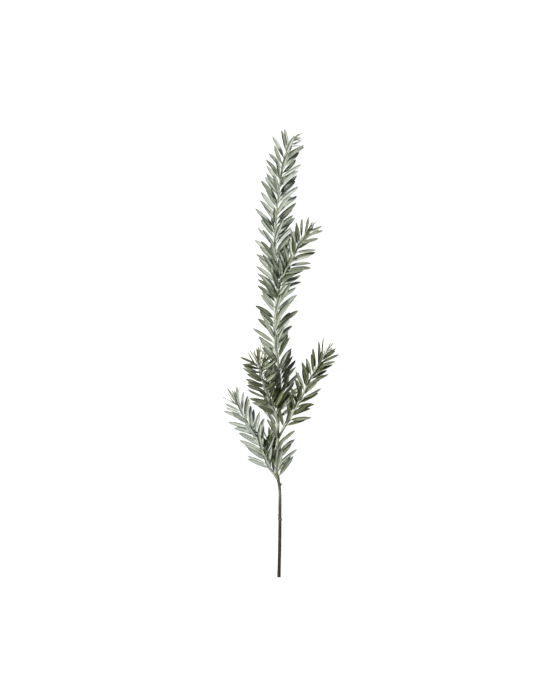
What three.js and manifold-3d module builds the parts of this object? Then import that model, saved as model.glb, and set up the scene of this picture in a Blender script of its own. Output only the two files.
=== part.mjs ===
// A cut pine branch, lying on a table: a main stem that forks five times, each length of stem its
// own solid, ranks of flat pointed leaves all along the leafy lengths, and a tuft of young needles
// on every growing tip. Each rank of leaves is one plain solid that reaches the tips of its leaves,
// and each tuft is a flared cup that holds its needles.
// Millimetres, +Z up. The cut end points to -Y and the tip to +Y. The origin is the middle of the
// branch's footprint, on the table.
import * as THREE from "three";
import { mergeVertices } from "three/addons/utils/BufferGeometryUtils.js";
import Module from "manifold-3d";

const wasm = await Module();
wasm.setup();

// ---- Driving dimensions

const STEM_RADIUS = 2.6; // at the cut end
const STEM_TIP_RADIUS = 1.1;
const SHOOT_RADIUS = 1.8; // where a side shoot leaves the main stem
const SHOOT_TIP_RADIUS = 1.0;
const STEM_SIDES = 8;
const STEM_STEP = 12; // length of one straight facet along a stem
const JOINT_GAP = 0.3; // between pieces that touch
const NOTCH_REACH = 32; // how far to each side of a fork a shoot is cut clear of the main stem

const LEAF_LENGTH = 36; // on the main stem
const SHOOT_LEAF_LENGTH = 32;
const LEAF_ANGLE = 38; // degrees between a leaf and its stem
const SHOOT_LEAF_ANGLE = 33;
const TIP_LEAF_ANGLE = 29; // the youngest leaves lie closest to the stem
const TIP_LEAF_SHARE = 0.78; // their length as a share of a full leaf
const YOUNG_LENGTH = 40; // the length of stem, back from its tip, that bears young leaves
const LEAF_PITCH = 12.5; // between the leaves of one rank, along the stem
const RANK_THICKNESS = 1;
const RANK_CLEARANCE = 0.7; // between a rank's inner edge and the bark
const LEAST_INNER_RADIUS = 2.35; // ranks come no closer to a thin twig's axis, or they would meet
const NOTCH_SHARE = 0.56; // how far out the notch between two leaves lies

const TUFT_LENGTH = 13;
const TUFT_RADIUS = 5.2;
const TUFT_SIDES = 8;

// Where the side shoots leave the main stem, measured along it from the cut end.
const FORK = {
  low_left: 151,
  short: 171,
  low_right: 216,
  mid_left: 241,
  high_right: 442,
};

// The directions that ranks of leaves grow in, as a roll about the stem in degrees: 0 is to the
// right of the growing direction and 90 is straight up from the table.
const ROLL = {
  right: 2,
  top_right: 52,
  top_left: 128,
  left: 178,
  under_left: 215,
  under_right: -35,
};
const ALL_ROUND = Object.keys(ROLL);

const COLOUR = {
  old_bark: "#574d3d",
  green_bark: "#75795f",
  leaf: "#8b9685",
  young_needle: "#7d8458",
};

// ---- Twigs: a route, a taper and a frame that everything else is placed in

class Twig {
  constructor(points, radius, tipRadius, leafLength, leafAngle) {
    this.curve = new THREE.CatmullRomCurve3(points.map((p) => new THREE.Vector3(...p)));
    this.length = this.curve.getLength();
    this.radius = radius;
    this.tipRadius = tipRadius;
    this.leafLength = leafLength;
    this.leafAngle = leafAngle;
  }

  radiusAt(distance) {
    return THREE.MathUtils.lerp(this.radius, this.tipRadius, distance / this.length);
  }

  // 0 on grown wood, rising to 1 at the growing tip.
  youth(distance) {
    return THREE.MathUtils.smoothstep(distance, this.length - YOUNG_LENGTH, this.length);
  }

  leafReach(distance) {
    return this.leafLength * THREE.MathUtils.lerp(1, TIP_LEAF_SHARE, this.youth(distance));
  }

  leafAngleAt(distance) {
    const degrees = THREE.MathUtils.lerp(this.leafAngle, TIP_LEAF_ANGLE, this.youth(distance));
    return THREE.MathUtils.degToRad(degrees);
  }

  // The twig's own directions at a distance along it. Past its tip it runs on straight.
  frameAt(distance) {
    const share = THREE.MathUtils.clamp(distance / this.length, 0, 1);
    const centre = this.curve.getPointAt(share);
    const along = this.curve.getTangentAt(share);
    centre.addScaledVector(along, distance - share * this.length);
    const side = new THREE.Vector3().crossVectors(along, new THREE.Vector3(0, 0, 1)).normalize();
    const up = new THREE.Vector3().crossVectors(side, along);
    return { centre, along, side, up };
  }

  // Bends a straight geometry round the twig. toTwig says, for each of its points, the distance
  // along the twig and the offsets to its side and upwards.
  bend(geometry, toTwig) {
    const position = geometry.getAttribute("position");
    const point = new THREE.Vector3();
    for (let i = 0; i < position.count; i++) {
      const [distance, sideways, upwards] = toTwig(point.fromBufferAttribute(position, i));
      const { centre, side, up } = this.frameAt(distance);
      centre.addScaledVector(side, sideways).addScaledVector(up, upwards);
      position.setXYZ(i, centre.x, centre.y, centre.z);
    }
    return geometry;
  }

  // A tapered length of bare stem, with an even facet underneath for it to lie on.
  stem(from, to, extraRadius = 0) {
    const length = to - from;
    const cylinder = new THREE.CylinderGeometry(
      this.radiusAt(to) + extraRadius,
      this.radiusAt(from) + extraRadius,
      length,
      STEM_SIDES,
      Math.max(1, Math.round(length / STEM_STEP)),
      false,
      Math.PI / STEM_SIDES,
    );
    return this.bend(cylinder, (p) => [p.y + length / 2 + from, p.x, p.z]);
  }

  // One rank of leaves: a thin plate with a toothed outer edge, one tooth to a leaf. It starts as
  // a box with two segments to a tooth, so that it can follow the twig closely.
  leafRank(rollDegrees, from, to) {
    const teeth = Math.round((to - from) / LEAF_PITCH);
    const plate = new THREE.BoxGeometry(teeth, 1, RANK_THICKNESS, teeth * 2);
    const roll = THREE.MathUtils.degToRad(rollDegrees);
    return this.bend(plate, (p) => {
      const tooth = p.x + teeth / 2;
      const distance = THREE.MathUtils.lerp(from, to, tooth / teeth);
      const share = Number.isInteger(tooth) ? NOTCH_SHARE : 1;
      const reach = p.y > 0 ? share * this.leafReach(distance) : 0;
      const angle = this.leafAngleAt(distance);
      const bark = Math.max(this.radiusAt(distance) + RANK_CLEARANCE, LEAST_INNER_RADIUS);
      const out = bark + reach * Math.sin(angle);
      return [
        distance + reach * Math.cos(angle),
        out * Math.cos(roll) + p.z * Math.sin(roll),
        out * Math.sin(roll) - p.z * Math.cos(roll),
      ];
    });
  }

  // The cup that holds the young needles past the twig's tip.
  tuft() {
    const cup = new THREE.CylinderGeometry(TUFT_RADIUS, this.tipRadius, TUFT_LENGTH, TUFT_SIDES);
    const start = this.length + JOINT_GAP;
    return this.bend(cup, (p) => [p.y + TUFT_LENGTH / 2 + start, p.x, p.z]);
  }
}

// ---- Solids

function solidOf(geometry) {
  const bare = new THREE.BufferGeometry()
    .setAttribute("position", geometry.getAttribute("position"))
    .setIndex(geometry.index);
  const merged = mergeVertices(bare, 1e-3);
  return new wasm.Manifold(
    new wasm.Mesh({
      numProp: 3,
      vertProperties: merged.getAttribute("position").array,
      triVerts: new Uint32Array(merged.index.array),
    }),
  );
}

function geometryOf(solid) {
  const { vertProperties, triVerts } = solid.getMesh();
  return new THREE.BufferGeometry()
    .setAttribute("position", new THREE.BufferAttribute(vertProperties, 3))
    .setIndex(new THREE.BufferAttribute(triVerts, 1));
}

const branch = new THREE.Group();

function addPiece(name, geometry, colour, roughness) {
  const material = new THREE.MeshStandardMaterial({ color: colour, roughness, metalness: 0 });
  const mesh = new THREE.Mesh(geometry, material);
  mesh.name = name;
  branch.add(mesh);
}

const addTuft = (twigName, twig) =>
  addPiece(`tip_needles_${twigName}`, twig.tuft(), COLOUR.young_needle, 0.7);

// ---- The main stem: bare and touching the table at its cut end, then lifted by its own leaves

const main = new Twig(
  [
    [0, 0, 2.4],
    [1.2, 57, 3.2],
    [1.6, 105, 6],
    [1.2, 139, 10.5],
    [-3.5, 166, 13.7],
    [-1.6, 205, 14.8],
    [-1.2, 236, 14.7],
    [1.9, 285, 14.7],
    [-0.5, 325, 14.7],
    [-5.8, 365, 14.7],
    [-5.4, 400, 14.7],
    [-2.3, 440, 14.7],
    [-5.5, 500, 14.6],
    [-5.8, 540, 14.5],
    [-2, 581, 14.5],
    [1.8, 613, 14.5],
    [8, 645, 14.5],
    [19, 678, 14],
  ],
  STEM_RADIUS,
  STEM_TIP_RADIUS,
  LEAF_LENGTH,
  LEAF_ANGLE,
);

const mainLengths = {
  stem_base: [0, FORK.low_left],
  stem_lower: [FORK.low_left, FORK.low_right],
  stem_fork: [FORK.low_right, FORK.mid_left],
  stem_middle: [FORK.mid_left, FORK.high_right],
  stem_top: [FORK.high_right, main.length],
};
for (const [name, [from, to]] of Object.entries(mainLengths)) {
  const start = from ? from + JOINT_GAP : from;
  const colour = from ? COLOUR.green_bark : COLOUR.old_bark;
  addPiece(name, main.stem(start, to), colour, 0.85);
}

// ---- The side shoots, each notched to fit round the main stem where it leaves it

function addShoot(name, forkDistance, points) {
  const start = main.frameAt(forkDistance).centre;
  const shoot = new Twig(
    [start.toArray(), ...points],
    SHOOT_RADIUS,
    SHOOT_TIP_RADIUS,
    SHOOT_LEAF_LENGTH,
    SHOOT_LEAF_ANGLE,
  );
  const stemWithGap = solidOf(
    main.stem(forkDistance - NOTCH_REACH, forkDistance + NOTCH_REACH, JOINT_GAP),
  );
  const notched = solidOf(shoot.stem(0, shoot.length)).subtract(stemWithGap);
  addPiece(name, geometryOf(notched), COLOUR.green_bark, 0.85);
  addTuft(name, shoot);
  return shoot;
}

const lowLeft = addShoot("low_left_shoot", FORK.low_left, [
  [-8, 162, 12],
  [-16, 173, 11.7],
  [-24.5, 195, 11.6],
  [-39, 225, 11.6],
  [-52, 246, 11.6],
  [-68, 275, 11.5],
]);
const short = addShoot("short_shoot", FORK.short, [
  [-7.5, 184, 10],
  [-12, 198, 7.4],
  [-17, 214, 6.4],
]);
const lowRight = addShoot("low_right_shoot", FORK.low_right, [
  [7, 231, 17],
  [16, 246, 19.5],
  [34, 278, 24],
  [51, 313, 27.5],
  [73, 350, 27],
]);
const midLeft = addShoot("mid_left_shoot", FORK.mid_left, [
  [-6.5, 257, 20],
  [-15, 276, 28],
  [-22, 296, 41],
  [-27, 316, 57],
  [-30, 335, 75],
]);
const highRight = addShoot("high_right_shoot", FORK.high_right, [
  [3.4, 461, 19],
  [12, 478, 24],
  [25, 502, 29],
  [34, 521, 32],
  [48.5, 542, 33],
]);
addTuft("main_stem", main);

// ---- The ranks of leaves

// Ranks on one leafy length of a twig. Beside a fork a rank has a start and an end of its own, to
// leave room for the shoot and its leaves.
function addLeafyLength(name, twig, from, to, besideFork = {}, ranks = ALL_ROUND) {
  for (const rank of ranks) {
    const [start, end] = besideFork[rank] ?? [from, to];
    const plate = twig.leafRank(ROLL[rank], start, end);
    addPiece(`leaves_${name}_${rank}`, plate, COLOUR.leaf, 0.7);
  }
}

const UP_TO_TIP = -4; // the last leaf of a rank grows this far before its twig's tip
const endOf = (twig) => twig.length + UP_TO_TIP;

addLeafyLength("stem_lower", main, 161, 204, {}, ["right", "top_right", "under_right"]);
addLeafyLength("stem_middle", main, 255, 430, {
  top_left: [311, 438],
  left: [255, 440],
  under_left: [255, 440],
});
addLeafyLength("stem_top", main, 445, endOf(main), {
  right: [456, endOf(main)],
  under_right: [456, endOf(main)],
  top_right: [504, endOf(main)],
});
addLeafyLength("low_left_shoot", lowLeft, 30, endOf(lowLeft), {
  under_right: [84, endOf(lowLeft)],
});
addLeafyLength("low_right_shoot", lowRight, 30, endOf(lowRight), {
  under_left: [62, endOf(lowRight)],
});
addLeafyLength("mid_left_shoot", midLeft, 30, endOf(midLeft));
addLeafyLength("high_right_shoot", highRight, 30, endOf(highRight));
addLeafyLength("short_shoot", short, 12, endOf(short), {}, ["right", "left"]);

// ---- The origin: the middle of the footprint, on the table

const box = new THREE.Box3().setFromObject(branch);
const middle = box.getCenter(new THREE.Vector3());
branch.position.set(-middle.x, -middle.y, -box.min.z);

export default branch;
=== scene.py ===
# A cut evergreen branch lying on a pale table, seen from straight above.
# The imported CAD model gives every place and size: the stems' routes and thicknesses are read from
# its pieces, and each visual piece stands where its CAD pieces are. Metres, +Z up, +Y to the tip.
import math

import bpy
import numpy as np
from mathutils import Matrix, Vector


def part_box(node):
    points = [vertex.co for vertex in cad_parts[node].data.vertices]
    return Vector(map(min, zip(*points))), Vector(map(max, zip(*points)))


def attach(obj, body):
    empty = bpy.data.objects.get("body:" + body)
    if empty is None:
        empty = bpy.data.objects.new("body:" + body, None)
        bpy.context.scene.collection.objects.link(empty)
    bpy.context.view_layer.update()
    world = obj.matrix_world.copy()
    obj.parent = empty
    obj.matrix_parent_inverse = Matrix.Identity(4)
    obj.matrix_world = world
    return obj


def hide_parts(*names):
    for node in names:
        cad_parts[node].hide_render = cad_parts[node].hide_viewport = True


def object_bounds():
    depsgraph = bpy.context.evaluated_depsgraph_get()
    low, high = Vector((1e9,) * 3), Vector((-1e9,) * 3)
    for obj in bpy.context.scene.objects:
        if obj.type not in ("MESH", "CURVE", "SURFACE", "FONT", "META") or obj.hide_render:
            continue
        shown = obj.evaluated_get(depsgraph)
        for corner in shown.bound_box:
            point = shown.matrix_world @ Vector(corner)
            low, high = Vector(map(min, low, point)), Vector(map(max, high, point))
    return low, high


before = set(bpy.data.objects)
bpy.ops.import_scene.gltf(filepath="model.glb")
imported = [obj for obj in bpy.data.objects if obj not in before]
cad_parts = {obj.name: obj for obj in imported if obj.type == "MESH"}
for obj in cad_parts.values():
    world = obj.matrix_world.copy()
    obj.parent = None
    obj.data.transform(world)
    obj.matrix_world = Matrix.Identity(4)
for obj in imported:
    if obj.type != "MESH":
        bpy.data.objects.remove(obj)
cad_low, cad_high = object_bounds()


# ---- The table, the light and the camera
# A plain white light table with the branch on it, a soft lamp to the left and above, a weaker one
# to the right, and a little even light from all round. The camera looks straight down.

branch_middle = (cad_low + cad_high) / 2
branch_length = cad_high.y - cad_low.y

TABLE_HALF_WIDTH = 20.0
TABLE_FACE = (0.2, 0.2, 0.2, 1)
TABLE_GLOW = 0.92
ROOM_WHITE = (1.0, 1.0, 1.0, 1)
ROOM_STRENGTH = 0.28

table_mesh = bpy.data.meshes.new("table_top")
table_mesh.from_pydata(
    [(x * TABLE_HALF_WIDTH, y * TABLE_HALF_WIDTH, 0) for x, y in ((-1, -1), (1, -1), (1, 1), (-1, 1))],
    [],
    [(0, 1, 2, 3)],
)
table_top = bpy.data.objects.new("table_top", table_mesh)
bpy.context.scene.collection.objects.link(table_top)
table_paint = bpy.data.materials.new("white table")
table_paint.use_nodes = True
table_shader = table_paint.node_tree.nodes["Principled BSDF"]
table_shader.inputs["Base Color"].default_value = TABLE_FACE
table_shader.inputs["Roughness"].default_value = 0.9
table_shader.inputs["Specular IOR Level"].default_value = 0.1
table_shader.inputs["Emission Color"].default_value = ROOM_WHITE
table_shader.inputs["Emission Strength"].default_value = TABLE_GLOW
table_mesh.materials.append(table_paint)

room = bpy.data.worlds.new("even light")
room.use_nodes = True
room.node_tree.nodes["Background"].inputs["Color"].default_value = ROOM_WHITE
room.node_tree.nodes["Background"].inputs["Strength"].default_value = ROOM_STRENGTH
bpy.context.scene.world = room
bpy.context.scene.view_settings.view_transform = "Standard"


def hang_lamp(name, place, size, watts, colour):
    """A square soft lamp at a place relative to the middle of the branch, turned towards it."""
    light = bpy.data.lights.new(name, "AREA")
    light.shape = "SQUARE"
    light.size = size
    light.energy = watts
    light.color = colour
    lamp = bpy.data.objects.new(name, light)
    lamp.location = Vector((branch_middle.x, branch_middle.y, 0)) + Vector(place)
    lamp.rotation_euler = (-Vector(place)).to_track_quat("-Z", "Y").to_euler()
    bpy.context.scene.collection.objects.link(lamp)


hang_lamp("lamp_left", (-1.2, 0.6, 2.0), 0.5, 128, (1.0, 0.99, 0.96))
hang_lamp("lamp_right", (1.4, -0.5, 1.7), 1.2, 4, (0.97, 0.98, 1.0))

# The branch takes up a set share of the picture's long side and lies a little below its middle.
CAMERA_LENS = 100
CAMERA_SENSOR = 36
BRANCH_SHARE_OF_PICTURE = 0.6414
BRANCH_RIGHT_OF_MIDDLE = 0.0008
BRANCH_BELOW_MIDDLE = 0.0039

picture_height = branch_length / BRANCH_SHARE_OF_PICTURE
camera_data = bpy.data.cameras.new("camera")
camera_data.lens = CAMERA_LENS
camera_data.sensor_width = CAMERA_SENSOR
camera = bpy.data.objects.new("camera", camera_data)
camera.location = (
    branch_middle.x - BRANCH_RIGHT_OF_MIDDLE,
    branch_middle.y + BRANCH_BELOW_MIDDLE,
    picture_height * CAMERA_LENS / CAMERA_SENSOR,
)
bpy.context.scene.collection.objects.link(camera)
bpy.context.scene.camera = camera


# ---- The stems' routes
# Each stem is a tapered tube in CAD. Its centre line and thickness are read back from the rings of
# corners along it, and drawn through with a smooth curve.

RING_GAP = 0.003  # rings of one stem lie further apart than this, along the branch
ROUTE_STEP = 0.001


def rings_of(*nodes):
    """The centre and radius of every ring of corners along CAD stem pieces laid end to end."""
    corners = np.concatenate([[v.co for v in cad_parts[n].data.vertices] for n in nodes])
    corners = np.unique(corners.round(6), axis=0)
    corners = corners[corners[:, 1].argsort()]
    cuts = np.flatnonzero(np.diff(corners[:, 1]) > RING_GAP) + 1
    rings = np.split(corners, cuts)
    centres = np.array([(ring.min(axis=0) + ring.max(axis=0)) / 2 for ring in rings])
    radii = [np.linalg.norm(r - c, axis=1).max() for r, c in zip(rings, centres)]
    return centres, np.array(radii)


def smooth_through(run, values, at):
    """A smooth curve through values at distances run, read off at other distances."""
    slopes = np.gradient(values, run, axis=0)
    i = np.clip(np.searchsorted(run, at, side="right") - 1, 0, len(run) - 2)
    width = (run[i + 1] - run[i])[:, None]
    t = (at - run[i])[:, None] / width
    return (
        values[i] * (2 * t**3 - 3 * t**2 + 1)
        + slopes[i] * width * (t**3 - 2 * t**2 + t)
        + values[i + 1] * (3 * t**2 - 2 * t**3)
        + slopes[i + 1] * width * (t**3 - t**2)
    )


def unit(vectors):
    return vectors / np.linalg.norm(vectors, axis=-1, keepdims=True)


class Twig:
    """A stem's route: its centre line, thickness and own directions at any distance along it."""

    def __init__(self, centres, radii):
        run = np.concatenate([[0], np.linalg.norm(np.diff(centres, axis=0), axis=1).cumsum()])
        self.length = run[-1]
        self.run = np.arange(0, self.length, ROUTE_STEP)
        self.line = smooth_through(run, centres, self.run)
        self.radii = np.interp(self.run, run, radii)

    def at(self, distances):
        """Centre, along, side and up at each distance. Past its tip the stem runs on straight."""
        d = np.clip(distances, 0, self.run[-1])
        centre = np.stack([np.interp(d, self.run, self.line[:, k]) for k in range(3)], axis=-1)
        slope = np.gradient(self.line, self.run, axis=0)
        along = unit(np.stack([np.interp(d, self.run, slope[:, k]) for k in range(3)], axis=-1))
        side = unit(np.cross(along, (0, 0, 1)))
        up = np.cross(side, along)
        return centre + along * (distances - d)[..., None], along, side, up

    def radius(self, distances):
        return np.interp(distances, self.run, self.radii)


# The main stem hardly leaves the straight, so the end of each of its lengths gives the place of a fork.
MAIN_NODES = ("stem_base", "stem_lower", "stem_fork", "stem_middle", "stem_top")
main = Twig(*rings_of(*MAIN_NODES))
forks = [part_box(node)[1].y - cad_low.y for node in MAIN_NODES]


def shoot_route(node):
    """A side shoot's route, from the middle of the main stem where it leaves it."""
    centres, radii = rings_of(node)
    nearest = np.linalg.norm(main.line - centres[0], axis=1).argmin()
    fork = main.line[max(nearest - 5, 0)]
    return Twig(np.vstack([fork, centres[1:]]), np.concatenate([[radii[1]], radii[1:]]))


shoots = {
    node: shoot_route(node)
    for node in (
        "low_left_shoot",
        "short_shoot",
        "low_right_shoot",
        "mid_left_shoot",
        "high_right_shoot",
    )
}


# ---- Where the leaves sit
# The leaves are set in a spiral, a golden angle apart, and their stalks twist so that most of the
# blades lie to the left and right and face up. They spread widest on the outer side of a shoot.

GOLDEN_ANGLE = math.radians(137.5)
YOUNG_LENGTH = 0.040  # of stem, back from its tip
YOUNG_SHORTER = 0.12
FLATTEN_ABOVE = 0.6
FLATTEN_BELOW = 0.45
SEAT_DEPTH = 0.8  # of the stem's radius
LENGTH_TO_BREADTH = 6.2
ANGLE_SPREAD = 4.5  # degrees
LEFT, RIGHT = -1, 1


def leaf_seats(
    twig, start, end, *, pitch, length, angles, tone, seed, warmth=0.2, young_angle=26,
    young_breadth=0.6, bare=(),
):
    """Seats for the leaves between two distances, with the aim and shape of each leaf.

    pitch is the step from leaf to leaf and length the leaves' own length, each at the start and
    at the end of the stretch. angles are the leaves' angles to the stem on its left and on its
    right. young_angle and young_breadth are their angle and share of the full breadth at its tip.
    tone goes from a deep green, 0, to a whitish bloom, 1, and warmth from grey to olive. bare
    lists the stretches that have no leaves on one side.
    """
    chance = np.random.default_rng(seed)
    at = [start]
    while at[-1] < end:
        at.append(at[-1] + np.interp(at[-1], (start, end), pitch) * chance.uniform(0.7, 1.3))
    at = np.array(at[:-1])
    count = len(at)
    turn = np.arange(count) * GOLDEN_ANGLE + chance.uniform(0, 2 * math.pi)
    turn = turn + chance.normal(0, 0.12, count)
    across, high = np.cos(turn), np.sin(turn)
    roll = np.arctan2(np.where(high > 0, FLATTEN_ABOVE, FLATTEN_BELOW) * high, across)
    hand = np.sign(across)

    centre, along, side, up = twig.at(at)
    youth = np.clip((at - (twig.length - YOUNG_LENGTH)) / YOUNG_LENGTH, 0, 1)
    youth = youth * youth * (3 - 2 * youth)
    share_right = np.cos(roll) / 2 + 0.5
    angle = angles[0] + (angles[1] - angles[0]) * share_right + chance.normal(0, ANGLE_SPREAD, count)
    tilt = np.radians(angle + (young_angle - angle) * youth)
    out = side * np.cos(roll)[:, None] + up * np.sin(roll)[:, None]
    aim = along * np.cos(tilt)[:, None] + out * np.sin(tilt)[:, None]
    face = unit(np.array((0, 0, 1.0)) - aim * aim[:, 2:3])
    spin = chance.normal(0, 0.30, count)
    reach = np.interp(at, (start, end), length)
    face = face * np.cos(spin)[:, None] + np.cross(aim, face) * np.sin(spin)[:, None]
    seats = {
        "seat": centre + out * (twig.radius(at) * SEAT_DEPTH)[:, None],
        "aim": aim,
        "face": face,
        "reach": reach * (1 - YOUNG_SHORTER * youth) * chance.uniform(0.86, 1.08, count),
        "breadth": (
            reach / LENGTH_TO_BREADTH * chance.uniform(0.84, 1.12, count) * (1 - (1 - young_breadth) * youth)
        ),
        "curl": chance.normal(-0.03, 0.05, count),
        "sweep": hand * 0.06 + chance.normal(0, 0.045, count),
        "twist": chance.normal(0, 0.25, count),
        "tone": np.clip(tone + chance.normal(0, 0.17, count), 0, 1),
        "warmth": np.clip(warmth + chance.normal(0, 0.12, count), 0, 1),
        "at": at,
        "roll": roll,
    }
    keep = np.ones(count, bool)
    for low_at, high_at, on_side in bare:
        keep &= (at < low_at) | (at > high_at) | (hand != on_side)
    return {name: values[keep] for name, values in seats.items()}


LEAF = 0.038
SHOOT_LEAF = 0.034  # on the shoots whose leaves are shorter
low_left_fork, low_right_fork, mid_left_fork, high_right_fork = forks[:4]

seats = {
    "stem_lower": leaf_seats(
        main, low_left_fork + 0.001, low_right_fork - 0.006, pitch=(0.0034, 0.0044),
        length=(LEAF, LEAF), angles=(36, 42), tone=0.55, warmth=0.25, seed=3, bare=[(0, 1, LEFT)],
    ),
    "stem_fork": leaf_seats(
        main, low_right_fork - 0.004, mid_left_fork + 0.004, pitch=(0.0038, 0.0030),
        length=(LEAF, LEAF), angles=(34, 36), tone=0.55, warmth=0.4, seed=4, bare=[(0, 1, RIGHT)],
    ),
    "stem_middle": leaf_seats(
        main, mid_left_fork + 0.006, high_right_fork + 0.002, pitch=(0.0032, 0.0028),
        length=(LEAF, LEAF * 1.08), angles=(41, 40), tone=0.52, warmth=0.35, seed=5,
    ),
    "stem_top": leaf_seats(
        main, high_right_fork + 0.004, main.length - 0.009, pitch=(0.0029, 0.0032),
        length=(LEAF * 1.08, LEAF), angles=(41, 39), tone=0.64, warmth=0.08, seed=6,
        young_breadth=0.85, bare=[(0, high_right_fork + 0.008, RIGHT), (main.length - 0.021, 1, RIGHT)],
    ),
    "low_left_shoot": leaf_seats(
        shoots["low_left_shoot"], 0.011, shoots["low_left_shoot"].length - 0.012,
        pitch=(0.0026, 0.0034), length=(LEAF, LEAF * 0.92), angles=(39, 34), tone=1.0, warmth=0.0,
        seed=7, bare=[(0, 0.018, LEFT)],
    ),
    "short_shoot": leaf_seats(
        shoots["short_shoot"], 0.004, shoots["short_shoot"].length - 0.003, pitch=(0.0024, 0.0030),
        length=(LEAF * 0.94, LEAF * 0.94), angles=(24, 18), tone=0.15, warmth=0.7, seed=8,
    ),
    "low_right_shoot": leaf_seats(
        shoots["low_right_shoot"], 0.014, shoots["low_right_shoot"].length - 0.007,
        pitch=(0.0030, 0.0027), length=(SHOOT_LEAF, SHOOT_LEAF), angles=(38, 36), tone=0.22,
        warmth=0.7, seed=9, bare=[(0, 0.021, RIGHT)],
    ),
    "mid_left_shoot": leaf_seats(
        shoots["mid_left_shoot"], 0.012, shoots["mid_left_shoot"].length - 0.003,
        pitch=(0.0024, 0.0021), length=(LEAF, LEAF * 0.9), angles=(43, 42), tone=0.38, warmth=0.85,
        young_angle=56, seed=10,
    ),
    "high_right_shoot": leaf_seats(
        shoots["high_right_shoot"], 0.004, shoots["high_right_shoot"].length - 0.008,
        pitch=(0.0028, 0.0028), length=(LEAF, SHOOT_LEAF * 0.96), angles=(32, 47), tone=0.42,
        warmth=0.4, seed=11,
    ),
}


# ---- Wood
# Thin bark on a woody core, smooth and grey-green where it is young and rough and brown at the
# cut end. Every leaf stands on a low cushion that runs a little way down the stem.

RIM_SIDES = 32
CUSHION_LENGTH = 0.012
CUSHION_HALF_WIDTH = 0.0009
CUSHION_HEIGHT = 0.0008
CUSHION_TOP = 0.0015  # how far it runs on past its leaf
GROOVES = ((0.035, 5, 40), (0.02, 9, -63))  # share of the radius, folds round the stem, slant
WOBBLES = ((0.018, 170, 1.0), (0.014, 410, 0.0))  # share of the radius, waves, shift
GRAIN_STRETCH = 60
SHOOT_BARK_FROM = 0.2  # a shoot's bark is like the main stem's from this far along it
RING_HALF_WIDTH = 0.0011


class Wire:
    """An output of a node. A sum written with wires adds Math nodes to their tree."""

    def __init__(self, board, socket):
        self.board, self.socket = board, socket

    def out(self, name):
        return Wire(self.board, self.socket.node.outputs[name])

    def calc(self, operation, *terms):
        return self.board.add("ShaderNodeMath", {"operation": operation}, *terms)

    def __add__(self, other):
        return self.calc("ADD", self, other)

    def __sub__(self, other):
        return self.calc("SUBTRACT", self, other)

    def __rsub__(self, other):
        return self.calc("SUBTRACT", other, self)

    def __mul__(self, other):
        return self.calc("MULTIPLY", self, other)

    def __truediv__(self, other):
        return self.calc("DIVIDE", self, other)

    def __pow__(self, other):
        return self.calc("POWER", self, other)

    def __abs__(self):
        return self.calc("ABSOLUTE", self)

    def sine(self):
        return self.calc("SINE", self)

    def at_least(self, other):
        return self.calc("MAXIMUM", self, other)

    def fade(self, low, high):
        """0 below low, 1 above high, with a soft step between them. low may be above high."""
        return self.board.add(
            "ShaderNodeMapRange", {"interpolation_type": "SMOOTHSTEP"}, self, low, high, 0.0, 1.0
        )


class Board:
    """A node tree to wire up."""

    def __init__(self, tree):
        self.tree = tree

    def add(self, kind, settings=None, *values, **named):
        """A node with its settings, then the values or wires of its sockets in their order."""
        node = self.tree.nodes.new(kind)
        for name, value in (settings or {}).items():
            setattr(node, name, value)
        sockets = [s for s in node.inputs if s.enabled]
        by_name = [(node.inputs[n.replace("_", " ")], v) for n, v in named.items()]
        for socket, value in [*zip(sockets, values), *by_name]:
            if isinstance(value, Wire):
                self.tree.links.new(value.socket, socket)
            elif value is not None:
                socket.default_value = value
        return Wire(self, next((s for s in node.outputs if s.enabled), None)) if node.outputs else None

    def number(self, name):
        return self.add("ShaderNodeAttribute", {"attribute_name": name}).out("Fac")

    def direction(self, name):
        return self.add("ShaderNodeAttribute", {"attribute_name": name}).out("Vector")

    def mix(self, share, a, b):
        return self.add("ShaderNodeMix", {"data_type": "RGBA"}, share, a, b)

    def noise(self, where, scale, detail=3.0, roughness=0.5):
        return self.add("ShaderNodeTexNoise", {}, where, scale, detail, roughness)

    def bump(self, height, distance, strength=1.0):
        return self.add("ShaderNodeBump", {}, Strength=strength, Distance=distance, Height=height)


def finish_material(name, paint):
    """A material whose shader is wired up by paint(board, shader)."""
    material = bpy.data.materials.new(name)
    material.use_nodes = True
    paint(Board(material.node_tree), material.node_tree.nodes["Principled BSDF"])
    return material


def join(board, wire, shader, socket):
    board.tree.links.new(wire.socket, shader.inputs[socket])


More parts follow.
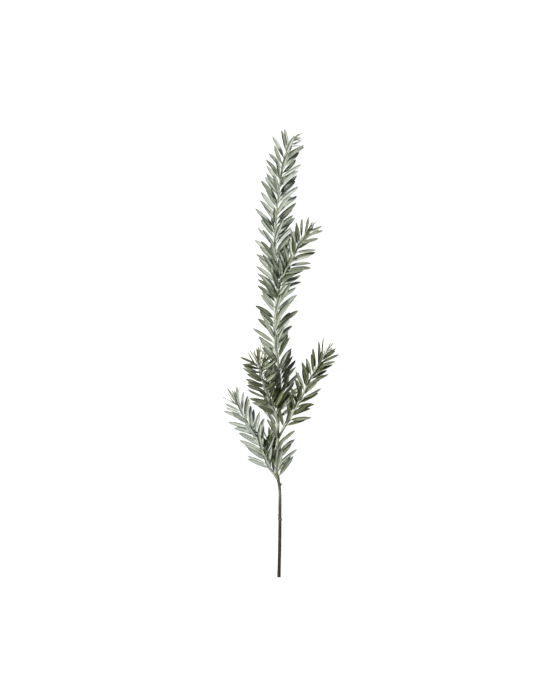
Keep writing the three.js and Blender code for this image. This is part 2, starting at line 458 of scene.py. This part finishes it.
def paint_bark(board, shader):
    """Brown at the cut end, grey-green above the ring, streaked lengthwise, dusty on top."""
    grain = board.direction("grain")
    run = board.number("run")
    streaks = board.noise(grain, 3.0, 4.0, 0.6)
    flecks = board.noise(grain, 11.0, 3.0, 0.6)
    place = board.add("ShaderNodeTexCoord").out("Object")
    patches = board.noise(place, 60.0, 2.0)
    green = board.mix(streaks.fade(0.35, 0.65), (0.036, 0.038, 0.021, 1), (0.088, 0.091, 0.060, 1))
    green = board.mix(patches.fade(0.45, 0.7) * 0.5, green, (0.165, 0.17, 0.13, 1))
    green = board.mix(run.fade(0.15, 0.26) * 0.68, green, (0.31, 0.34, 0.25, 1))
    brown = board.mix(streaks.fade(0.38, 0.66), (0.006, 0.004, 0.0015, 1), (0.052, 0.038, 0.021, 1))
    brown = board.mix(flecks.fade(0.6, 0.75) * 0.5, brown, (0.13, 0.10, 0.068, 1))
    brown = board.mix(run.fade(0.07, 0.10) * 0.4, brown, (0.075, 0.062, 0.043, 1))
    old = (run + (streaks - 0.5) * 0.012).fade(0.117, 0.109)
    colour = board.mix(old, green, brown)
    ring = board.number("ring")
    colour = board.mix(ring.fade(0.1, 0.5), colour, (0.012, 0.009, 0.005, 1))
    pale = ring.fade(0.5, 0.85) * (flecks.fade(0.35, 0.6) * 0.6 + 0.3)
    colour = board.mix(pale, colour, (0.24, 0.21, 0.14, 1))
    cushion = board.number("cushion")
    colour = board.mix(cushion * 0.7, colour, (0.34, 0.375, 0.29, 1))
    join(board, colour, shader, "Base Color")
    join(board, streaks * 0.3 + 0.6, shader, "Roughness")
    shader.inputs["Specular IOR Level"].default_value = 0.15
    height = streaks * 0.6 + flecks * 0.4
    join(board, board.bump(height, 0.0004, 0.7), shader, "Normal")


def paint_cut_wood(board, shader):
    """Pale wood with a small brown pith and faint yearly rings."""
    out = board.number("out")
    place = board.add("ShaderNodeTexCoord").out("Object")
    waver = board.noise(place, 500.0, 2.0)
    rings = ((out + (waver - 0.5) * 0.12) * 40.0).sine() * 0.5 + 0.5
    colour = board.mix(rings * 0.6, (0.52, 0.40, 0.24, 1), (0.36, 0.26, 0.14, 1))
    colour = board.mix(out.fade(0.22, 0.12), colour, (0.12, 0.07, 0.035, 1))
    colour = board.mix(out.fade(0.84, 0.93), colour, (0.10, 0.07, 0.04, 1))
    fibre = board.noise(place, 2400.0, 3.0)
    colour = board.mix(fibre.fade(0.45, 0.7) * 0.5, colour, (0.24, 0.16, 0.08, 1))
    join(board, colour, shader, "Base Color")
    join(board, fibre * 0.3 + 0.55, shader, "Roughness")
    join(board, board.bump(fibre, 0.0002, 0.5), shader, "Normal")


bark = finish_material("bark", paint_bark)
cut_wood = finish_material("cut wood", paint_cut_wood)


def bark_surface(twig, start, end, own_seats, swell):
    """Rings of points over a length of stem, with the cushions under its leaves."""
    at = np.arange(start, end, ROUTE_STEP)
    at = np.append(at, end)
    turn = np.linspace(0, 2 * math.pi, RIM_SIDES, endpoint=False)
    centre, along, side, up = twig.at(at)
    radius = np.repeat(twig.radius(at)[:, None], RIM_SIDES, axis=1)
    grooves = sum(depth * np.sin(folds * turn + slant * at[:, None]) for depth, folds, slant in GROOVES)
    wobble = sum(depth * np.sin(waves * at + shift) for depth, waves, shift in WOBBLES)
    radius = radius * (1 + grooves + wobble[:, None]) + swell(at, turn)
    cushion = np.zeros_like(radius)
    for seat_at, seat_roll in zip(own_seats["at"], own_seats["roll"]):
        below = seat_at - at
        rise = np.clip((CUSHION_LENGTH - below) / CUSHION_LENGTH, 0, 1) ** 1.5
        rise = rise * np.clip((below + CUSHION_TOP) / CUSHION_TOP, 0, 1)
        aside = (turn - seat_roll + math.pi) % (2 * math.pi) - math.pi
        arc = aside[None, :] * radius
        cushion = np.maximum(cushion, rise[:, None] * np.exp(-((arc / CUSHION_HALF_WIDTH) ** 2)))
    radius = radius + cushion * CUSHION_HEIGHT
    out = side[:, None, :] * np.cos(turn)[None, :, None] + up[:, None, :] * np.sin(turn)[None, :, None]
    points = centre[:, None, :] + out * radius[:, :, None]
    grain = np.stack(
        [
            np.broadcast_to(np.cos(turn), radius.shape),
            np.broadcast_to(np.sin(turn), radius.shape),
            np.broadcast_to(at[:, None] * GRAIN_STRETCH, radius.shape),
        ],
        axis=-1,
    )
    return points, at, centre, grain, cushion


def make_stem(name, node, slot, twig, start, end, own_seats, swell, ring_at=None, cut=False):
    """One length of stem as a closed skin, which stands for its CAD piece."""
    points, at, centre, grain, cushion = bark_surface(twig, start, end, own_seats, swell)
    rows = len(at)
    corners = np.vstack([points.reshape(-1, 3), centre[0], centre[-1]])
    faces = []
    for i in range(rows - 1):
        for j in range(RIM_SIDES):
            k = (j + 1) % RIM_SIDES
            faces.append(
                (i * RIM_SIDES + j, i * RIM_SIDES + k, (i + 1) * RIM_SIDES + k, (i + 1) * RIM_SIDES + j)
            )
    first, last = rows * RIM_SIDES, rows * RIM_SIDES + 1
    for j in range(RIM_SIDES):
        k = (j + 1) % RIM_SIDES
        faces.append((first, k, j))
        faces.append((last, (rows - 1) * RIM_SIDES + j, (rows - 1) * RIM_SIDES + k))
    mesh = bpy.data.meshes.new(name)
    mesh.from_pydata(corners.tolist(), [], faces)
    mesh.materials.append(bark)
    for polygon in mesh.polygons:
        polygon.use_smooth = True
    run = np.append(np.repeat(at, RIM_SIDES), [at[0], at[-1]])
    if twig is not main:
        run = run + SHOOT_BARK_FROM
    ring = np.exp(-(((run - ring_at) / RING_HALF_WIDTH) ** 2)) if ring_at else np.zeros(len(run))
    ends = [(0, 0, at[0] * GRAIN_STRETCH), (0, 0, at[-1] * GRAIN_STRETCH)]
    grain = np.vstack([grain.reshape(-1, 3), *ends])
    cushion = np.append(cushion.ravel(), [0, 0])
    out = np.append(np.ones(rows * RIM_SIDES), [0, 0])
    for label, kind, key, values in (
        ("run", "FLOAT", "value", run),
        ("ring", "FLOAT", "value", ring),
        ("cushion", "FLOAT", "value", cushion),
        ("out", "FLOAT", "value", out),
        ("grain", "FLOAT_VECTOR", "vector", grain),
    ):
        mesh.attributes.new(label, kind, "POINT").data.foreach_set(key, np.ravel(values))
    if cut:
        mesh.materials.append(cut_wood)
        for polygon in mesh.polygons:
            if first in polygon.vertices:
                polygon.material_index = 1
                polygon.use_smooth = False
    stem = bpy.data.objects.new(name, mesh)
    bpy.context.scene.collection.objects.link(stem)
    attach(stem, "root")
    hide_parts(node)


NO_SEATS = {"at": np.array([]), "roll": np.array([])}
RING_AT = 0.0897
RING_HEIGHT = 0.00025
RING_HALF_LENGTH = 0.0014
BUD_SCALES = (  # place along the stem, angle round it, half length, height
    (RING_AT, 0.0, 0.0011, 0.0012),
    (RING_AT + 0.001, math.pi, 0.0011, 0.0011),
    (RING_AT + 0.002, 1.3, 0.0012, 0.0006),
)
SCARS = (
    (0.0965, 3.0, 0.0016, 0.0006),
    (0.1035, 3.6, 0.0018, 0.0005),
    (0.1095, 2.7, 0.0016, 0.0004),
    (0.0440, 0.9, 0.0020, 0.0003),
)
LOST_LEAF_STUB = (0.1450, 0.15, 0.0018, 0.0024)


def no_swell(at, turn):
    return np.zeros((len(at), len(turn)))


def lump(at, turn, place, roll, half_length, height):
    """A small raised spot on a stem, at a place along it and an angle round it."""
    aside = (turn - roll + math.pi) % (2 * math.pi) - math.pi
    return height * np.exp(-(((at - place) / half_length) ** 2))[:, None] * np.exp(-(aside**2) * 5)


def base_swell(at, turn):
    """The ring round the old wood with its bud scales, a few scars, and a lost leaf's stub."""
    ring = RING_HEIGHT * np.exp(-(((at - RING_AT) / RING_HALF_LENGTH) ** 2))
    swell = ring[:, None] * np.ones(len(turn))
    for spot in (*BUD_SCALES, *SCARS, LOST_LEAF_STUB):
        swell += lump(at, turn, *spot)
    return swell


main_lengths = {
    "stem_base": (0, low_left_fork),
    "stem_lower": (low_left_fork, low_right_fork),
    "stem_fork": (low_right_fork, mid_left_fork),
    "stem_middle": (mid_left_fork, high_right_fork),
    "stem_top": (high_right_fork, main.length),
}
for node, (start, end) in main_lengths.items():
    make_stem(
        "bark_" + node,
        node,
        "old_bark" if node == "stem_base" else "green_bark",
        main,
        start,
        end,
        seats.get(node, NO_SEATS),
        base_swell if node == "stem_base" else no_swell,
        ring_at=RING_AT if node == "stem_base" else None,
        cut=node == "stem_base",
    )

COLLAR_LENGTH = 0.008
COLLAR_HEIGHT = 0.0007


def collar(at, turn):
    """A shoot is thicker where it grows out of the main stem."""
    return np.repeat(COLLAR_HEIGHT * np.exp(-((at / COLLAR_LENGTH) ** 2))[:, None], len(turn), axis=1)


for node, twig in shoots.items():
    make_stem("bark_" + node, node, "green_bark", twig, 0, twig.length, seats[node], collar)


# ---- Leaves
# A leaf is a thin strap that keeps its breadth for most of its length, folded along its midrib, with
# a short stalk and a pointed tip. One tree of nodes shapes a leaf and sets a copy on every seat.

leaf_board = Board(bpy.data.node_groups.new("leaves on their seats", "GeometryNodeTree"))
leaf_inputs = {}
for label, kind, default in (
    ("Seats", "NodeSocketGeometry", None),
    ("Fold", "NodeSocketFloat", 0.65),
    ("Thickness", "NodeSocketFloat", 0.06),
    ("Stalk length", "NodeSocketFloat", 0.05),
    ("Stalk width", "NodeSocketFloat", 0.28),
    ("Strap shape", "NodeSocketFloat", 3.0),
    ("Finish", "NodeSocketMaterial", None),
):
    made = leaf_board.tree.interface.new_socket(name=label, in_out="INPUT", socket_type=kind)
    if default is not None:
        made.default_value = default
    leaf_inputs[label] = made.identifier
leaf_board.tree.interface.new_socket(name="Leaves", in_out="OUTPUT", socket_type="NodeSocketGeometry")

given = leaf_board.add("NodeGroupInput")
LEAF_ROWS = 9
UPPER_COLUMNS = 5
UNDER_COLUMNS = 3
END_CROWDING = 0.07  # draws the rows together near the stalk and the tip
WELD = 0.0005  # of a leaf's length
SHARP_EDGE = math.radians(60)


def leaf_face(columns, is_upper):
    """One face of the leaf: a grid moved into shape, with its places on the leaf kept."""
    face = leaf_board.add("GeometryNodeMeshGrid", {}, 1.0, 1.0, columns, LEAF_ROWS)
    spot = leaf_board.add("ShaderNodeSeparateXYZ", {}, leaf_board.add("GeometryNodeInputPosition"))
    across = spot.out("X") * 2.0
    row = spot.out("Y") + 0.5
    along = row - (row * 2 * math.pi).sine() * END_CROWDING
    blade_share = (along - given.out("Stalk length")) / (1 - given.out("Stalk length"))
    blade_share = blade_share.at_least(0.0)
    blade = (1 - abs(blade_share * 2 - 1) ** given.out("Strap shape")).at_least(0.0) ** 0.9
    half_width = blade.at_least(given.out("Stalk width") * (1 - along) ** 4.0) * 0.5
    sideways = across * half_width
    height = abs(sideways) * given.out("Fold")
    if not is_upper:
        body = (1 - across * across) * (along * math.pi).sine().at_least(0.0) ** 0.5
        height = height - body * given.out("Thickness")
    for label, value in (("across", across), ("along", along), ("upper", float(is_upper))):
        face = leaf_board.add("GeometryNodeStoreNamedAttribute", {}, face, None, label, value)
    shape = leaf_board.add("ShaderNodeCombineXYZ", {}, sideways, along, height)
    return leaf_board.add("GeometryNodeSetPosition", {}, face, None, shape)


upper = leaf_face(UPPER_COLUMNS, True)
under = leaf_board.add("GeometryNodeFlipFaces", {}, leaf_face(UNDER_COLUMNS, False))
both = leaf_board.add("GeometryNodeJoinGeometry")
for part in (under, upper):
    leaf_board.tree.links.new(part.socket, both.socket.node.inputs[0])
leaf = leaf_board.add("GeometryNodeMergeByDistance", {}, both, None, WELD)
leaf = leaf_board.add("GeometryNodeSetShadeSmooth", {"domain": "FACE"}, leaf, None, True)
edge_angle = leaf_board.add("GeometryNodeInputMeshEdgeAngle")
margin = edge_angle.calc("GREATER_THAN", edge_angle, SHARP_EDGE)
leaf = leaf_board.add("GeometryNodeSetShadeSmooth", {"domain": "EDGE"}, leaf, margin, False)


def seat_value(label, kind="FLOAT"):
    return leaf_board.add("GeometryNodeInputNamedAttribute", {"data_type": kind}, label)


turned = leaf_board.add(
    "FunctionNodeAxesToRotation",
    {"primary_axis": "Y", "secondary_axis": "Z"},
    seat_value("aim", "FLOAT_VECTOR"),
    seat_value("face", "FLOAT_VECTOR"),
)
breadth = seat_value("breadth")
scale = leaf_board.add("ShaderNodeCombineXYZ", {}, breadth, seat_value("reach"), breadth)
copies = leaf_board.add(
    "GeometryNodeInstanceOnPoints", {}, given.out("Seats"), None, leaf, None, None, turned, scale
)
leaves = leaf_board.add("GeometryNodeRealizeInstances", {}, copies)


def vector_sum(operation, *terms):
    return leaf_board.add("ShaderNodeVectorMath", {"operation": operation}, *terms)


def scaled(vector, factor):
    node = vector_sum("SCALE", vector)
    leaf_board.tree.links.new(factor.socket, node.socket.node.inputs["Scale"])
    return node


share = seat_value("along")
bend = share * share * seat_value("reach")
aim, face = seat_value("aim", "FLOAT_VECTOR"), seat_value("face", "FLOAT_VECTOR")
twisted = leaf_board.add(
    "ShaderNodeVectorRotate",
    {"rotation_type": "AXIS_ANGLE"},
    leaf_board.add("GeometryNodeInputPosition"),
    seat_value("seat", "FLOAT_VECTOR"),
    aim,
    seat_value("twist") * share,
)
moved = vector_sum("ADD", twisted, scaled(face, bend * seat_value("curl")))
moved = vector_sum(
    "ADD", moved, scaled(vector_sum("CROSS_PRODUCT", aim, face), bend * seat_value("sweep"))
)
place = leaf_board.add("ShaderNodeSeparateXYZ", {}, moved)
TABLE_CLEARANCE = 0.0004
PRESSED_THICKNESS = 0.0005  # of a leaf that lies flat on the table
TABLE_SOFTNESS = 0.003
lowest = seat_value("upper") * PRESSED_THICKNESS + TABLE_CLEARANCE
height = place.out("Z").calc("SMOOTH_MAX", place.out("Z"), lowest, TABLE_SOFTNESS)
moved = leaf_board.add("ShaderNodeCombineXYZ", {}, place.out("X"), place.out("Y"), height)
leaves = leaf_board.add("GeometryNodeSetPosition", {}, leaves, None, moved)
leaves = leaf_board.add("GeometryNodeSetMaterial", {}, leaves, None, given.out("Finish"))
leaf_board.add("NodeGroupOutput", {}, leaves)


def set_leaves(name, own_seats, material, **shape):
    """A mesh of leaves, one on each seat."""
    count = len(own_seats["at"])
    dots = bpy.data.meshes.new(name + " seats")
    dots.vertices.add(count)
    dots.vertices.foreach_set("co", own_seats["seat"].ravel())
    for label, values in own_seats.items():
        vector = values.ndim == 2
        kind = "FLOAT_VECTOR" if vector else "FLOAT"
        layer = dots.attributes.new(label, kind, "POINT")
        layer.data.foreach_set("vector" if vector else "value", values.astype(float).ravel())
    holder = bpy.data.objects.new(name + " seats", dots)
    bpy.context.scene.collection.objects.link(holder)
    growing = holder.modifiers.new("leaves", "NODES")
    growing.node_group = leaf_board.tree
    growing[leaf_inputs["Finish"]] = material
    for label, value in shape.items():
        growing[leaf_inputs[label.replace("_", " ")]] = value
    grown = holder.evaluated_get(bpy.context.evaluated_depsgraph_get())
    mesh = bpy.data.meshes.new_from_object(grown)
    mesh.name = name
    bpy.data.objects.remove(holder)
    bpy.data.meshes.remove(dots)
    piece = bpy.data.objects.new(name, mesh)
    bpy.context.scene.collection.objects.link(piece)
    return piece


def paint_leaf(board, shader):
    """Dull leathery green under a whitish bloom, paler along the midrib and underneath, with painted shade
    along both margins.
    """
    tone = board.number("tone")
    across = board.number("across")
    along = board.number("along")
    upper = board.number("upper")
    place = board.add("ShaderNodeTexCoord").out("Object")
    mottle = board.noise(place, 420.0, 3.0, 0.6)
    cloud = board.noise(place, 90.0, 2.0)
    veins_at = board.add("ShaderNodeCombineXYZ", {}, across * 7.0, along * 2.5, tone * 9.0)
    veins = board.noise(veins_at, 1.6, 2.0)
    warmth = board.number("warmth")
    deep = board.mix(veins.fade(0.3, 0.7), (0.014, 0.021, 0.005, 1), (0.042, 0.054, 0.019, 1))
    olive = board.mix(veins.fade(0.3, 0.7), (0.020, 0.028, 0.004, 1), (0.074, 0.086, 0.019, 1))
    deep = board.mix(warmth, deep, olive)
    bloom = board.mix(veins.fade(0.3, 0.7), (0.15, 0.172, 0.143, 1), (0.38, 0.41, 0.375, 1))
    bloom = board.mix(warmth * 0.8, bloom, (0.19, 0.21, 0.12, 1))
    share = tone + (cloud - 0.5) * 0.5 + (mottle - 0.5) * 0.35
    colour = board.mix(share.fade(0.05, 0.85), deep, bloom)
    rib = abs(across).fade(0.16, 0.04)
    colour = board.mix(rib * 0.5, colour, (0.31, 0.34, 0.26, 1))
    colour = board.mix((1 - upper) * 0.5, colour, (0.19, 0.23, 0.17, 1))
    colour = board.mix(along.fade(0.25, 0.0) * 0.7, colour, (0.25, 0.29, 0.19, 1))
    colour = board.mix(along.fade(0.6, 1.0) * 0.3, colour, (0.045, 0.055, 0.040, 1))
    # Painted shade: both margins darken to a near-black green, standing in for the shadow lines that fall
    # along the leaves' edges and between overlapping leaves.
    colour = board.mix(abs(across).fade(0.66, 0.95) * 0.7, colour, (0.024, 0.034, 0.011, 1))
    join(board, colour, shader, "Base Color")
    join(board, mottle * 0.25 + 0.42, shader, "Roughness")
    join(board, board.bump(veins * 0.7 + mottle * 0.3 - rib * 0.6, 0.0002, 0.6), shader, "Normal")
    shader.inputs["Specular IOR Level"].default_value = 0.22


leaf_finish = finish_material("leaf", paint_leaf)

RANKS = ("right", "top_right", "top_left", "left", "under_left", "under_right")
for node, own_seats in seats.items():
    foliage = set_leaves("foliage_" + node, own_seats, leaf_finish)
    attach(foliage, "root")
    ranks = [f"leaves_{node}_{rank}" for rank in RANKS]
    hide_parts(*[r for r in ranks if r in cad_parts])


# ---- The young needles
# Every growing tip ends in a loose tuft of thin young leaves, not yet flat, that fan out from it.
# The leaves' own tree of nodes makes them, narrower and with a shallower fold.

NEEDLE_BREADTH = 0.0019
NEEDLE_FOLD = 0.5
TUFT_DEPTH = 0.012  # of stem, back from its tip


def needle_seats(twig, *, count, length, tone, warmth, seed, lean=0.0):
    """Seats for the needles round a growing tip. lean turns the whole tuft to the right."""
    chance = np.random.default_rng(seed)
    at = twig.length - chance.uniform(0, TUFT_DEPTH, count)
    roll = np.arange(count) * GOLDEN_ANGLE + chance.uniform(0, 2 * math.pi)
    centre, along, side, up = twig.at(at)
    along, side = (
        along * math.cos(lean) + side * math.sin(lean),
        side * math.cos(lean) - along * math.sin(lean),
    )
    tilt = np.radians(chance.uniform(8, 50, count))
    out = side * np.cos(roll)[:, None] + up * np.sin(roll)[:, None]
    aim = along * np.cos(tilt)[:, None] + out * np.sin(tilt)[:, None]
    face = unit(np.cross(np.cross(aim, along), aim) * -1)
    return {
        "seat": centre,
        "aim": aim,
        "face": face,
        "reach": length * chance.uniform(0.6, 1.05, count),
        "breadth": NEEDLE_BREADTH * chance.uniform(0.8, 1.2, count),
        "curl": chance.normal(-0.08, 0.12, count),
        "sweep": chance.normal(0, 0.10, count),
        "twist": chance.normal(0, 0.4, count),
        "tone": np.clip(tone + chance.normal(0, 0.2, count), 0, 1),
        "warmth": np.clip(warmth + chance.normal(0, 0.15, count), 0, 1),
        "at": at,
    }


def paint_needle(board, shader):
    """Thinner bloom than on the leaves, yellower on the warm shoots, with a pale dry tip and painted shade
    along both edges.
    """
    along = board.number("along")
    across = board.number("across")
    place = board.add("ShaderNodeTexCoord").out("Object")
    mottle = board.noise(place, 500.0, 2.0)
    grey = board.mix(board.number("tone"), (0.035, 0.045, 0.018, 1), (0.20, 0.22, 0.18, 1))
    olive = board.mix(board.number("tone"), (0.05, 0.055, 0.012, 1), (0.20, 0.205, 0.09, 1))
    colour = board.mix(board.number("warmth"), grey, olive)
    colour = board.mix(mottle.fade(0.4, 0.7) * 0.3, colour, (0.20, 0.21, 0.15, 1))
    # Painted shade: both edges of the needle darken to a near-black green, standing in for the shadow lines
    # along its edges.
    colour = board.mix(abs(across).fade(0.5, 0.95) * 0.5, colour, (0.03, 0.035, 0.012, 1))
    colour = board.mix(along.fade(0.8, 1.0) * 0.5, colour, (0.26, 0.22, 0.13, 1))
    join(board, colour, shader, "Base Color")
    join(board, mottle * 0.2 + 0.45, shader, "Roughness")
    shader.inputs["Specular IOR Level"].default_value = 0.3


needle_finish = finish_material("young needle", paint_needle)

needles = {
    "main_stem": needle_seats(
        main, count=14, length=0.028, tone=0.25, warmth=0.3, seed=40, lean=math.radians(35)
    ),
    "low_left_shoot": needle_seats(
        shoots["low_left_shoot"], count=16, length=0.032, tone=0.7, warmth=0.1, seed=41
    ),
    "short_shoot": needle_seats(
        shoots["short_shoot"], count=7, length=0.020, tone=0.1, warmth=0.7, seed=42
    ),
    "low_right_shoot": needle_seats(
        shoots["low_right_shoot"], count=9, length=0.020, tone=0.2, warmth=0.5, seed=43
    ),
    "mid_left_shoot": needle_seats(
        shoots["mid_left_shoot"], count=18, length=0.034, tone=0.6, warmth=1.0, seed=44
    ),
    "high_right_shoot": needle_seats(
        shoots["high_right_shoot"], count=12, length=0.020, tone=0.1, warmth=0.3, seed=45
    ),
}
for node, own_seats in needles.items():
    tuft = set_leaves("needles_" + node, own_seats, needle_finish, Fold=NEEDLE_FOLD)
    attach(tuft, "root")
    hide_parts("tip_needles_" + node)
